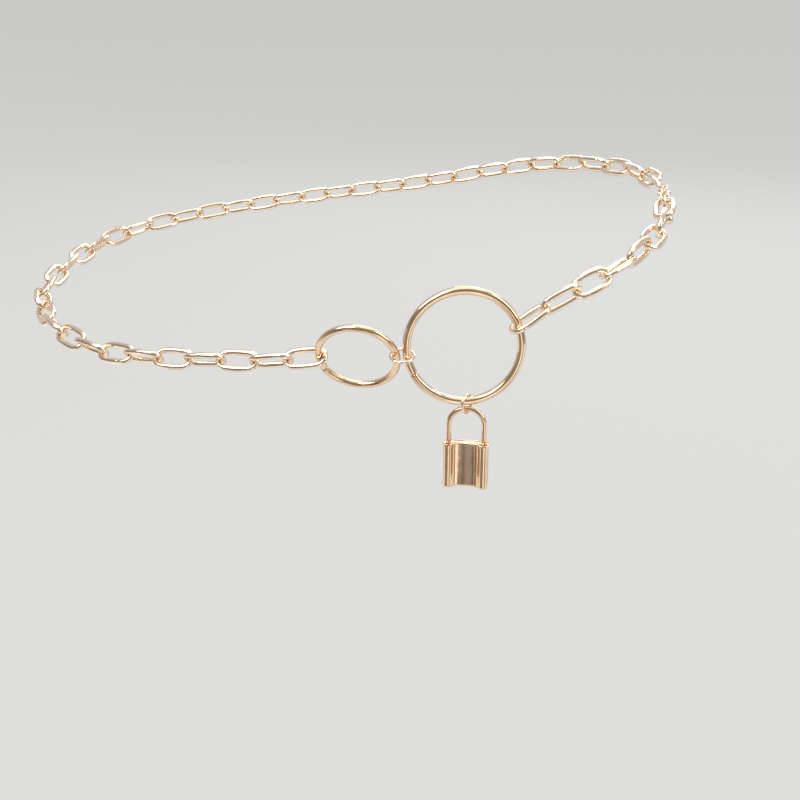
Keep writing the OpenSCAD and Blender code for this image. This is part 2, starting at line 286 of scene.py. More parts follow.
def outline_path(outline):
    """The path along a closed outline in the XY plane that runs anticlockwise."""
    path = []
    for k, point in enumerate(outline):
        run = (outline[(k + 1) % len(outline)] - outline[k - 1]).normalized()
        path.append((point, Vector((run.y, -run.x, 0)), UP))
    return path


def oval_path(length, width, bow):
    """Centre line of an oval link: two round ends joined by two sides that bow out by bow."""
    half = width / 2
    chord = length - width
    # The sides are arcs of a large circle, and the ends meet them without a corner
    side_r = ((chord / 2) ** 2 + bow**2) / (2 * bow)
    tilt = math.asin(min(1.0, chord / 2 / side_r))
    end_r = (half - bow) / math.cos(tilt)
    end_x = chord / 2 - end_r * math.sin(tilt)
    side_y = half - side_r
    stretch = (length / 2) / (end_x + end_r)
    arc_end = end_r * (math.pi - 2 * tilt)
    arc_side = side_r * 2 * tilt
    outline = []
    for k in range(LINK_STEPS):
        s = 2 * (arc_end + arc_side) * k / LINK_STEPS
        if s < arc_end:
            turn = -(math.pi / 2 - tilt) + s / end_r
            x, y, r = end_x, 0.0, end_r
        elif s < arc_end + arc_side:
            turn = math.pi / 2 - tilt + (s - arc_end) / side_r
            x, y, r = 0.0, side_y, side_r
        elif s < 2 * arc_end + arc_side:
            turn = math.pi / 2 + tilt + (s - arc_end - arc_side) / end_r
            x, y, r = -end_x, 0.0, end_r
        else:
            turn = 3 * math.pi / 2 - tilt + (s - 2 * arc_end - arc_side) / side_r
            x, y, r = 0.0, -side_y, side_r
        outline.append(Vector((stretch * (x + r * math.cos(turn)), y + r * math.sin(turn), 0)))
    return outline_path(outline)


def butted_wire(bm, outer, thick, gap, step, clock, sides, steps):
    """A ring whose two cut ends meet at clock with a small gap and a small step."""
    radius = (outer - thick) / 2
    cap = CUT_ROUNDING * thick
    cut = (gap + 2 * cap) / radius

    def shift(t):
        near_start = max(0.0, 1 - t / PARTED)
        near_end = max(0.0, 1 - (1 - t) / PARTED)
        lean = step * (near_start**2 - near_end**2)
        return lean / 4, lean / 2

    path = round_path(radius, steps, math.radians(clock) + cut / 2, 2 * math.pi - cut, False, shift)
    wire(bm, path, thick, False, sides, cap)


# Placing pieces


def place(bm, matrix):
    """Moves what was made round the origin to its place."""
    bmesh.ops.transform(bm, matrix=matrix, verts=bm.verts)


def add_object(name, data):
    """Adds a mesh, lamp or camera to the scene as an object."""
    made = bpy.data.objects.new(name, data)
    bpy.context.scene.collection.objects.link(made)
    return made


def mesh_from(name, bm):
    """Turns a bmesh into a mesh and frees it."""
    mesh = bpy.data.meshes.new(name)
    bm.to_mesh(mesh)
    bm.free()
    return mesh


def finish_piece(name, bm, material, body, nodes, sharp=40):
    """Makes the object, gives it its metal and lets it stand for its solids."""
    bmesh.ops.recalc_face_normals(bm, faces=bm.faces)
    mesh = mesh_from(name, bm)
    piece = add_object(name, mesh)
    mesh.materials.append(material)
    mesh.shade_smooth()
    mesh.set_sharp_from_angle(angle=math.radians(sharp))
    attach(piece, body)
    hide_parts(*nodes)


def butted_ring(node, kind, body, outer, thick, gap, step, clock, sides, steps):
    """Builds a butted ring where its solid lies, and lets it stand for that solid."""
    whole = bmesh.new()
    butted_wire(whole, outer, thick, gap, step, clock, sides, steps)
    place(whole, ring_seat(node))
    finish_piece(node + "_wire", whole, metal(kind), body, [node])


# Metal


class Plating:
    """Polished plating with faint changes of tone, fine scratches and small soft dents."""

    TONE_SCALE, TONE_FROM, TONE_TO = 90, 0.35, 0.62
    HAZE_SCALE, HAZE_FROM, HAZE_TO = 260, 0.3, 0.7
    DULLEST, CLEAREST = 1.5, 0.7  # share of the roughness in the haziest and the clearest spots
    SCRATCH_STRENGTH, SCRATCH_ROUGHNESS = 0.35, 0.65
    DENT_SCALE, DENT_STRENGTH, DENT_DEPTH = 140, 0.5, 0.22 * MM
    WAVE_SCALE, WAVE_RUN = 190, (1, 1, 0.03)

    def __init__(self, name):
        self.material = bpy.data.materials.new(name)
        self.material.use_nodes = True
        self.nodes = self.material.node_tree.nodes
        self.links = self.material.node_tree.links
        self.nodes.clear()
        output = self.nodes.new("ShaderNodeOutputMaterial")
        self.shader = self.nodes.new("ShaderNodeBsdfPrincipled")
        self.links.new(self.shader.outputs["BSDF"], output.inputs["Surface"])
        self.shader.inputs["Metallic"].default_value = 1.0
        self.where = self.nodes.new("ShaderNodeTexCoord").outputs["Object"]
        self.relief = None

    def noise(self, scale, detail, run=None):
        """A noise over the surface, drawn out along an axis where run scales it down."""
        where = self.where
        if run:
            stretch = self.nodes.new("ShaderNodeMapping")
            stretch.inputs["Scale"].default_value = run
            self.links.new(where, stretch.inputs["Vector"])
            where = stretch.outputs["Vector"]
        noise = self.nodes.new("ShaderNodeTexNoise")
        noise.inputs["Scale"].default_value = scale
        noise.inputs["Detail"].default_value = detail
        self.links.new(where, noise.inputs["Vector"])
        return noise

    def bump(self, noise, strength, depth):
        """Lays a bump over those made before it."""
        bump = self.nodes.new("ShaderNodeBump")
        bump.inputs["Strength"].default_value = strength
        bump.inputs["Distance"].default_value = depth
        self.links.new(noise.outputs["Fac"], bump.inputs["Height"])
        if self.relief:
            self.links.new(self.relief.outputs["Normal"], bump.inputs["Normal"])
        self.relief = bump

    def colour(self, colour, shade):
        """Faint changes of tone between the colour and its darker spots."""
        tint = self.nodes.new("ShaderNodeValToRGB")
        darker, brighter = tint.color_ramp.elements
        darker.position, darker.color = self.TONE_FROM, (*shade, 1)
        brighter.position, brighter.color = self.TONE_TO, (*colour, 1)
        self.links.new(self.noise(self.TONE_SCALE, 3).outputs["Fac"], tint.inputs["Fac"])
        self.links.new(tint.outputs["Color"], self.shader.inputs["Base Color"])

    def gloss(self, roughness):
        """A polish that is a little hazier in places."""
        haze = self.nodes.new("ShaderNodeMapRange")
        haze.inputs["From Min"].default_value = self.HAZE_FROM
        haze.inputs["From Max"].default_value = self.HAZE_TO
        haze.inputs["To Min"].default_value = roughness * self.CLEAREST
        haze.inputs["To Max"].default_value = roughness * self.DULLEST
        self.links.new(self.noise(self.HAZE_SCALE, 4).outputs["Fac"], haze.inputs["Value"])
        self.links.new(haze.outputs["Result"], self.shader.inputs["Roughness"])

    def surface(self, scratch_scale, scratch_depth, scratch_run, wave):
        """Scratches, dents and, on a cast face that is never quite flat, long shallow waves."""
        scratch = self.noise(scratch_scale, 5, scratch_run)
        scratch.inputs["Roughness"].default_value = self.SCRATCH_ROUGHNESS
        self.bump(scratch, self.SCRATCH_STRENGTH, scratch_depth)
        self.bump(self.noise(self.DENT_SCALE, 1), self.DENT_STRENGTH, self.DENT_DEPTH)
        if wave:
            self.bump(self.noise(self.WAVE_SCALE, 1.5, self.WAVE_RUN), 1.0, wave)
        self.links.new(self.relief.outputs["Normal"], self.shader.inputs["Normal"])


def metal(kind):
    """The finish of one family of pieces, made once from the panel's values."""
    name = "polished_" + kind
    found = bpy.data.materials.get(name)
    if found:
        return found
    look = bpy.context.scene.chain_finish
    # The rings and the padlock get the plating's own colour. The links and the small findings get a copy of
    # the same plating painted paler: painted light, for the brighter light that falls on them.
    base_tones = (look.plating, look.plating_shade)
    lit_paler_tones = (look.link_plating_painted_paler, look.link_spots_painted_paler)
    # Colour and darker spots, roughness, then scale, depth and run of the scratches, and the waves
    tones, roughness, scale, depth, run, wave = {
        "links": (lit_paler_tones, look.link_roughness, 900, 0.035 * MM, None, 0),
        "findings": (lit_paler_tones, look.link_roughness, 1100, 0.028 * MM, None, 0),
        "rings": (base_tones, look.ring_roughness, 700, 0.028 * MM, None, 0),
        "padlock": (base_tones, look.lock_roughness, 1400, 0.04 * MM, (1, 1, 0.12), 0.2 * MM),
    }[kind]
    plating = Plating(name)
    plating.colour(*tones)
    plating.gloss(roughness)
    plating.surface(scale, depth, run, wave)
    return plating.material


# Panel values


class ChainSizes(bpy.types.PropertyGroup):
    """Sizes of the links."""

    link_wire: FloatProperty(
        name="Link wire",
        description="Thickness of the link wire",
        default=2.4 * MM,
        unit="LENGTH",
        precision=4,
    )
    link_full: FloatProperty(
        name="Plated link wire",
        description="Thickness of the link wire with its plating",
        default=2.64 * MM,
        unit="LENGTH",
        precision=4,
    )
    link_swell: FloatProperty(
        name="Swell of the link sides",
        description="How much thicker the wire is at the middle of a long side",
        default=0.17,
        subtype="FACTOR",
    )
    link_bow: FloatProperty(
        name="Bow of the link sides",
        description="How far each long side of a link bows out",
        default=0.3 * MM,
        min=0.01 * MM,
        unit="LENGTH",
        precision=4,
    )
    seam_depth: FloatProperty(
        name="Seam depth",
        description="Depth of the soldered seam in each link",
        default=0.12 * MM,
        unit="LENGTH",
        precision=5,
    )
    wire_sides: IntProperty(
        name="Sides of the wire", description="Faces round the link wire", default=20, min=8, max=48
    )


class RingSizes(bpy.types.PropertyGroup):
    """Sizes of the two rings and the connector between them."""

    big_d: FloatProperty(
        name="Big ring",
        description="Outer diameter of the big ring",
        default=58 * MM,
        unit="LENGTH",
        precision=4,
    )
    big_wire: FloatProperty(
        name="Big ring wire",
        description="Wire thickness of the big ring",
        default=4 * MM,
        unit="LENGTH",
        precision=4,
    )
    small_d: FloatProperty(
        name="Small ring",
        description="Outer diameter of the small ring",
        default=41.4 * MM,
        unit="LENGTH",
        precision=4,
    )
    small_wire: FloatProperty(
        name="Small ring wire",
        description="Wire thickness of the small ring",
        default=3.5 * MM,
        unit="LENGTH",
        precision=4,
    )
    connector_d: FloatProperty(
        name="Connector",
        description="Outer diameter of the connector",
        default=12.6 * MM,
        unit="LENGTH",
        precision=4,
    )
    connector_wire: FloatProperty(
        name="Connector wire",
        description="Wire thickness of the connector",
        default=1.7 * MM,
        unit="LENGTH",
        precision=4,
    )
    seam: FloatProperty(
        name="Seam",
        description="Cut where a ring wire butts against itself",
        default=0.3 * MM,
        unit="LENGTH",
        precision=5,
    )
    step: FloatProperty(
        name="Seam step",
        description="How far the two cut ends stand apart sideways",
        default=0.35 * MM,
        unit="LENGTH",
        precision=5,
    )


class LockSizes(bpy.types.PropertyGroup):
    """Sizes of the padlock and the jump ring that it hangs on."""

    width: FloatProperty(
        name="Width", description="Width of the body", default=21.8 * MM, unit="LENGTH", precision=4
    )
    height: FloatProperty(
        name="Height", description="Height of the body", default=23 * MM, unit="LENGTH", precision=4
    )
    thick: FloatProperty(
        name="Thickness",
        description="Thickness at the middle",
        default=4.4 * MM,
        unit="LENGTH",
        precision=4,
    )
    lobe: FloatProperty(
        name="Lobe",
        description="How far the side lobes stand forward",
        default=2.7 * MM,
        unit="LENGTH",
        precision=4,
    )
    legs: FloatProperty(
        name="Legs",
        description="Distance between the legs",
        default=17.2 * MM,
        unit="LENGTH",
        precision=4,
    )
    bow_wire: FloatProperty(
        name="Shackle wire",
        description="Wire thickness of the shackle",
        default=2.5 * MM,
        unit="LENGTH",
        precision=4,
    )
    hollow: FloatProperty(
        name="Hollow",
        description="Depth of the hollow panel between the lobes",
        default=0.3 * MM,
        unit="LENGTH",
        precision=5,
    )
    rim: FloatProperty(
        name="Rim",
        description="How far the top rim stands out",
        default=0.4 * MM,
        unit="LENGTH",
        precision=5,
    )
    edge: FloatProperty(
        name="Bottom edge",
        description="Rounding of the bottom edge",
        default=1.2 * MM,
        unit="LENGTH",
        precision=5,
    )
    ring_d: FloatProperty(
        name="Jump ring",
        description="Outer diameter of the jump ring",
        default=10.2 * MM,
        unit="LENGTH",
        precision=4,
    )
    ring_wire: FloatProperty(
        name="Jump ring wire",
        description="Wire thickness of the jump ring",
        default=1.4 * MM,
        unit="LENGTH",
        precision=4,
    )


class ChainFinish(bpy.types.PropertyGroup):
    """Colour and gloss of the plating, and a copy of its colour painted paler for the links, where more
    light falls.
    """

    plating: FloatVectorProperty(
        name="Plating",
        description="Colour of the plating on the two rings and the padlock",
        subtype="COLOR",
        size=3,
        min=0,
        max=1,
        default=(0.89, 0.67, 0.46),
    )
    plating_shade: FloatVectorProperty(
        name="Plating in its darker spots",
        description="Colour of the plating where it is a little worn",
        subtype="COLOR",
        size=3,
        min=0,
        max=1,
        default=(0.8, 0.555, 0.36),
    )
    # A copy of the plating painted paler, which stands in for the brighter light that falls on the links and
    # small rings; the metal is the same.
    link_plating_painted_paler: FloatVectorProperty(
        name="Plating of the links",
        description="Colour of the plating on the links and small rings",
        subtype="COLOR",
        size=3,
        min=0,
        max=1,
        default=(0.972, 0.81, 0.635),
    )
    # The darker spots of that copy, painted paler in the same way.
    link_spots_painted_paler: FloatVectorProperty(
        name="Plating of the links in its darker spots",
        description="Colour of the plating where a link is a little worn",
        subtype="COLOR",
        size=3,
        min=0,
        max=1,
        default=(0.905, 0.705, 0.515),
    )
    link_roughness: FloatProperty(
        name="Link gloss", description="Roughness of the links", default=0.1, subtype="FACTOR"
    )
    ring_roughness: FloatProperty(
        name="Ring gloss", description="Roughness of the rings", default=0.075, subtype="FACTOR"
    )
    lock_roughness: FloatProperty(
        name="Padlock gloss", description="Roughness of the padlock", default=0.065, subtype="FACTOR"
    )


class StudioSetup(bpy.types.PropertyGroup):
    """Floor, light and camera."""

    floor_colour: FloatVectorProperty(
        name="Floor",
        description="Colour of the floor",
        subtype="COLOR",
        size=3,
        min=0,
        max=1,
        default=(0.22, 0.219, 0.217),
    )
    floor_glow: FloatProperty(
        name="Floor glow", description="Light that the floor and its wall give off", default=0.4
    )
    floor_height: FloatProperty(
        name="Floor height", description="Height of the floor", default=-0.26, unit="LENGTH"
    )
    room_light: FloatProperty(
        name="Room light", description="Strength of the light from all round", default=0.72
    )
    turn: FloatProperty(
        name="Camera turn",
        description="Direction of the camera round the object",
        default=math.radians(11),
        subtype="ANGLE",
    )
    tilt: FloatProperty(
        name="Camera tilt",
        description="How far the camera looks down",
        default=math.radians(20),
        subtype="ANGLE",
    )
    away: FloatProperty(
        name="Camera distance", description="Distance along the view", default=0.6, unit="LENGTH"
    )
    aside: FloatProperty(
        name="Camera aside", description="Shift of the view to the side", default=-0.0294, unit="LENGTH"
    )
    above: FloatProperty(
        name="Camera above", description="Shift of the view upwards", default=0.0887, unit="LENGTH"
    )
    lens: FloatProperty(
        name="Lens",
        description="Focal length",
        default=47.75,
        subtype="DISTANCE_CAMERA",
        unit="CAMERA",
    )


# Pieces


class CHAIN_OT_links(bpy.types.Operator):
    """Builds the oval links of both sides of the chain"""

    bl_idname = "chain.links"
    bl_label = "Oval links"

    def execute(self, context):
        sizes = context.scene.chain_sizes
        rng = random.Random(LINK_SEED)
        for node, name in (("left_chain", "oval_links_long_side"), ("right_chain", "oval_links_short_side")):
            whole = bmesh.new()
            for faces in loose_parts(node):
                link = self.link(sizes, faces, rng)
                whole.from_mesh(link)
                bpy.data.meshes.remove(link)
            finish_piece(name, whole, metal("links"), "chain", [node], sharp=60)
        return {"FINISHED"}

    def link(self, sizes, faces, rng):
        """One link, as a mesh in the place of the solid with these faces."""
        middle, x, y, z = lie_of(faces)
        length = reach(faces, x) - sizes.link_wire
        width = reach(faces, y) - sizes.link_wire
        bow = sizes.link_bow * rng.uniform(*BOW_SPREAD)
        seam = rng.choice(SEAM_STEPS) + rng.choice((-1, 0, 1))

        def swell(point):
            return sizes.link_swell * (1 - min(1, 2 * abs(point.x) / length) ** 2)

        part = bmesh.new()
        path = oval_path(length, width, bow)
        groove = (seam, SEAM_HALF, sizes.seam_depth)
        wire(part, path, sizes.link_full, True, sizes.wire_sides, groove=groove, swell=swell)
        place(part, seat(middle, x, y, z))
        return mesh_from("link", part)


class CHAIN_OT_rings(bpy.types.Operator):
    """Builds the big ring, the small ring and the connector between them"""

    bl_idname = "chain.rings"
    bl_label = "Rings and connector"

    def execute(self, context):
        sizes = context.scene.ring_sizes
        for node, outer, thick, clock in (
            ("big_ring", sizes.big_d, sizes.big_wire, BIG_RING_CUT),
            ("small_ring", sizes.small_d, sizes.small_wire, SMALL_RING_CUT),
        ):
            butted_ring(node, "rings", "chain", outer, thick, sizes.seam, sizes.step, clock, 40, 220)
        butted_ring(
            "ring_connector",
            "findings",
            "chain",
            sizes.connector_d,
            sizes.connector_wire,
            gap=0.1 * MM,
            step=0.12 * MM,
            clock=CONNECTOR_CUT,
            sides=24,
            steps=96,
        )
        return {"FINISHED"}


def arc(centre, radius, start, end, steps):
    """Points of an arc in the XY plane, angles in degrees."""
    turns = [math.radians(start + (end - start) * k / steps) for k in range(steps + 1)]
    return [(centre[0] + radius * math.cos(turn), centre[1] + radius * math.sin(turn)) for turn in turns]


def lock_outline(sizes, grow):
    """The padlock seen from above, grown outwards by grow, with the same number of points each time."""
    corner_x, corner_y = sizes.width / 2 - BACK_CORNER, LOCK_BACK - BACK_CORNER
    front = LOCK_BACK - sizes.thick
    lobe_r = (sizes.width - sizes.legs) / 2
    lobe_x, lobe_y = sizes.legs / 2, front - sizes.lobe + lobe_r
    fillet_y = front - FILLET
    fillet_x = lobe_x - math.sqrt((lobe_r + FILLET) ** 2 - (lobe_y - fillet_y) ** 2)
    meet = math.degrees(math.atan2(lobe_y - fillet_y, lobe_x - fillet_x))
    points = arc((corner_x, corner_y), BACK_CORNER + grow, 0, 90, 8)
    points += arc((-corner_x, corner_y), BACK_CORNER + grow, 90, 180, 8)
    points += arc((-lobe_x, lobe_y), lobe_r + grow, 180, 360 - meet, 18)
    # The panel between the lobes is a shallow hollow that runs on from the two fillets
    slope = 2 * sizes.hollow / fillet_x
    lean = math.degrees(math.atan(slope))
    left = arc((-fillet_x, fillet_y), FILLET - grow, 180 - meet, 90 + lean, 10)[1:]
    right = arc((fillet_x, fillet_y), FILLET - grow, 90 - lean, meet, 10)[:-1]
    (x0, y0), x1 = left[-1], right[0][0]
    steps = 16
    panel = [x0 + (x1 - x0) * k / steps for k in range(1, steps)]
    points += left + [(x, y0 + 0.5 * slope * x1 * (1 - (x / x1) ** 2)) for x in panel] + right
    points += arc((lobe_x, lobe_y), lobe_r + grow, 180 + meet, 360, 18)
    return points


def lock_profile(sizes):
    """How far the outline is grown at each height, from the bottom round the rim to the sunk top."""
    rim, edge, bottom = sizes.rim, sizes.edge, -sizes.height
    profile = [(-edge * (1 - s), bottom + edge * (1 - c)) for c, s in quarter(6)]
    profile += [(0, bottom + edge + 0.1 * MM), (0, bottom + edge + 0.4 * MM), (0, bottom / 2)]
    profile += [(0, -RIM_HEIGHT - below) for below in (0.75 * MM, 0.4 * MM, RIM_FOOT)]
    profile += [(rim * (1 - c), RIM_FOOT * (s - 1) - RIM_HEIGHT) for c, s in quarter(4)]
    profile += [(rim + RIM_SOFT * (c - 1), RIM_SOFT * (s - 1)) for c, s in quarter(5, 1)]
    inner = rim - RIM_WALL
    profile += [(inner + RIM_LIP * (1 - s), RIM_LIP * (c - 1)) for c, s in quarter(4)]
    foot = ((0, 0.15 * MM), (0.04 * MM, 0.04 * MM), (0.15 * MM, 0))
    profile += [(inner - inwards, above - RIM_DEPTH) for inwards, above in foot]
    return profile


class CHAIN_OT_padlock(bpy.types.Operator):
    """Builds the padlock body, its shackle and the jump ring that it hangs on"""

    bl_idname = "chain.padlock"
    bl_label = "Padlock"

    def execute(self, context):
        sizes = context.scene.lock_sizes
        inward = lie_of(triangles("lock_shackle"))[3]
        inward = Vector((inward.x, inward.y, 0)).normalized()
        if inward.y < 0:
            inward = -inward
        spot = Vector(next(j for j in frame["joints"] if j["name"] == "lock_sway")["pos_m"])
        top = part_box("lock_body")[1][2]
        lock_seat = seat(Vector((spot.x, spot.y, top)), inward.cross(UP), inward, UP)
        self.body(sizes, lock_seat)
        self.shackle(sizes, lock_seat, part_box("lock_shackle")[1][2] - top)
        butted_ring(
            "lock_jump_ring",
            "findings",
            "lock_ring",
            sizes.ring_d,
            sizes.ring_wire,
            gap=0.08 * MM,
            step=0.1 * MM,
            clock=LOCK_RING_CUT,
            sides=24,
            steps=96,
        )
        return {"FINISHED"}

    def body(self, sizes, lock_seat):
        """The body, with its rim and the two holes for the legs."""
        whole = bmesh.new()
        rings = []
        for grow, z in lock_profile(sizes):
            rings.append([whole.verts.new((x, y, z)) for x, y in lock_outline(sizes, grow)])
        skin(whole, rings)
        whole.faces.new(rings[0])
        whole.faces.new(rings[-1])
        bmesh.ops.recalc_face_normals(whole, faces=whole.faces)
        blank = add_object("body_blank", mesh_from("body_blank", whole))
        drill = bmesh.new()
        hole_r = sizes.bow_wire / 2 + LEG_PLAY
        for side in (-1, 1):
            bmesh.ops.create_cone(
                drill,
                cap_ends=True,
                segments=40,
                radius1=hole_r,
                radius2=hole_r,
                depth=LEG_HOLE,
                matrix=Matrix.Translation((side * sizes.legs / 2, 0, LEG_HOLE_MIDDLE)),
            )
        tool = add_object("drill", mesh_from("drill", drill))
        cut = blank.modifiers.new("leg_holes", "BOOLEAN")
        cut.operation = "DIFFERENCE"
        cut.solver = "EXACT"
        cut.object = tool
        evaluated = blank.evaluated_get(bpy.context.evaluated_depsgraph_get())
        ready = bmesh.new()
        ready.from_mesh(evaluated.to_mesh())
        evaluated.to_mesh_clear()
        bpy.data.objects.remove(blank)
        bpy.data.objects.remove(tool)
        place(ready, lock_seat)
        finish_piece("padlock_body", ready, metal("padlock"), "lock", ["lock_body"], sharp=32)

    def shackle(self, sizes, lock_seat, height):
        """The shackle: two legs that reach into the body, and a half-round bow."""
        radius = sizes.legs / 2
        centre = height - sizes.bow_wire / 2 - radius
        behind = Vector((0, 1, 0))
        leg = [(centre + LEG_IN_BODY) * k / LEG_STEPS - LEG_IN_BODY for k in range(LEG_STEPS)]
        path = [(Vector((radius, 0, z)), Vector((1, 0, 0)), behind) for z in leg]
        for k in range(BOW_STEPS + 1):
            turn = math.pi * k / BOW_STEPS
            out = Vector((math.cos(turn), 0, math.sin(turn)))
            path.append((UP * centre + out * radius, out, behind))
        path += [(Vector((-radius, 0, z)), Vector((-1, 0, 0)), behind) for z in reversed(leg)]
        whole = bmesh.new()
        wire(whole, path, sizes.bow_wire, False, 32, 0.25 * MM)
        place(whole, lock_seat)
        finish_piece("padlock_shackle", whole, metal("padlock"), "lock", ["lock_shackle"])


class CHAIN_OT_closure(bpy.types.Operator):
    """Builds the clasp, the rings at the closure and the free end with its bead"""

    bl_idname = "chain.closure"
    bl_label = "Closure"

    def execute(self, context):
        for node, outer, thick, clock in (
            ("end_ring", 9 * MM, 1.4 * MM, END_RING_CUT),
            ("clasp_jump_ring", 7.8 * MM, 1.3 * MM, CLASP_RING_CUT),
            ("drop_ring", 6.4 * MM, 1.5 * MM, DROP_RING_CUT),
        ):
            butted_ring(node, "findings", "chain", outer, thick, 0.08 * MM, 0.08 * MM, clock, 22, 84)
        self.clasp()
        self.bead()
        return {"FINISHED"}

    def clasp(self):
        """A claw clasp: a pear-shaped loop of flattened bar, with an eye across its narrow end."""
        length, width, wall, thick = 15 * MM, 7.6 * MM, 1.6 * MM, 2.2 * MM
        eye_d, eye_wire = 5 * MM, 1.2 * MM
        sides, squareness = 24, 0.8
        middle, x, y, z = lie_of(triangles("clasp"))
        eye_side = lie_of(triangles("clasp_jump_ring"))[0]
        if (eye_side - middle).dot(x) < 0:
            x, z = -x, -z
        big_r, small_r = (width - wall) / 2, eye_d / 3 - wall / 4
        big_x = (width - length) / 2
        small_x = (length - small_r - wall) / 2 - eye_d
        lean = math.acos((big_r - small_r) / (small_x - big_x))
        big = arc((big_x, 0), big_r, math.degrees(lean), 360 - math.degrees(lean), 48)
        small = arc((small_x, 0), small_r, -math.degrees(lean), math.degrees(lean), 12)
        outline = [Vector((*point, 0)) for point in big]
        small = [Vector((*point, 0)) for point in small]
        outline += [outline[-1].lerp(small[0], k / 10) for k in range(1, 11)]
        outline += small[1:]
        outline += [small[-1].lerp(outline[0], k / 10) for k in range(1, 10)]
        whole = bmesh.new()
        rings = []
        for point, out, up in outline_path(outline):
            ring = []
            for c, s in circle(sides):
                flat_c = math.copysign(abs(c) ** squareness, c)
                flat_s = math.copysign(abs(s) ** squareness, s)
                ring.append(whole.verts.new(point + out * (wall / 2 * flat_c) + up * (thick / 2 * flat_s)))
            rings.append(ring)
        skin(whole, rings, True)
        eye_x = (length - eye_d) / 2
        eye = [
            (Vector((point.x + eye_x, 0, point.y)), Vector((out.x, 0, out.y)), Vector((0, -1, 0)))
            for point, out, _ in round_path((eye_d - eye_wire) / 2, 64)
        ]
        wire(whole, eye, eye_wire, True, 20)
        place(whole, seat(middle, x, y, z))
        finish_piece("claw_clasp", whole, metal("findings"), "chain", ["clasp"])

    def bead(self):
        """The bead of the free end, with a flattened top, a collar and the eye that it hangs by."""
        ball, collar_r, collar_wire = 5.6 * MM, 0.9 * MM, 0.5 * MM
        eye_r, eye_wire = 1.75 * MM, 0.9 * MM
        flat_from, flatness = 0.44 * ball, 0.3
        low, high = (Vector(corner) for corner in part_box("end_drop"))
        centre = (low + high) / 2
        middle = Vector((centre.x, centre.y, low.z + ball / 2))
        whole = bmesh.new()
        bmesh.ops.create_uvsphere(whole, u_segments=48, v_segments=32, radius=ball / 2)
        for vert in whole.verts:
            if vert.co.z > flat_from:
                vert.co.z = flat_from + (vert.co.z - flat_from) * flatness
        collar = [(point + UP * (0.455 * ball), out, up) for point, out, up in round_path(collar_r, 40)]
        wire(whole, collar, collar_wire, True, 14)
        bmesh.ops.translate(whole, verts=whole.verts, vec=middle)
        x = lie_of(triangles("end_ring"))[1]
        side = Vector((x.y, -x.x, 0)).normalized()
        along = UP.cross(side).normalized()
        eye_centre = Vector((middle.x, middle.y, high.z - eye_r - eye_wire / 2))
        eye = [
            (eye_centre + along * point.x + UP * point.y, along * out.x + UP * out.y, side)
            for point, out, _ in round_path(eye_r, 56)
        ]
        wire(whole, eye, eye_wire, True, 18)
        finish_piece("end_bead", whole, metal("findings"), "chain", ["end_drop"])


# Studio


def glowing_paint(name, colour, roughness, tint, glow):
    """Matt paint that also gives off a little light."""
    paint = bpy.data.materials.new(name)
    paint.use_nodes = True
    shader = paint.node_tree.nodes["Principled BSDF"]
    shader.inputs["Base Color"].default_value = (*colour, 1)
    shader.inputs["Roughness"].default_value = roughness
    shader.inputs["Emission Color"].default_value = (*tint, 1)
    shader.inputs["Emission Strength"].default_value = glow
    return paint


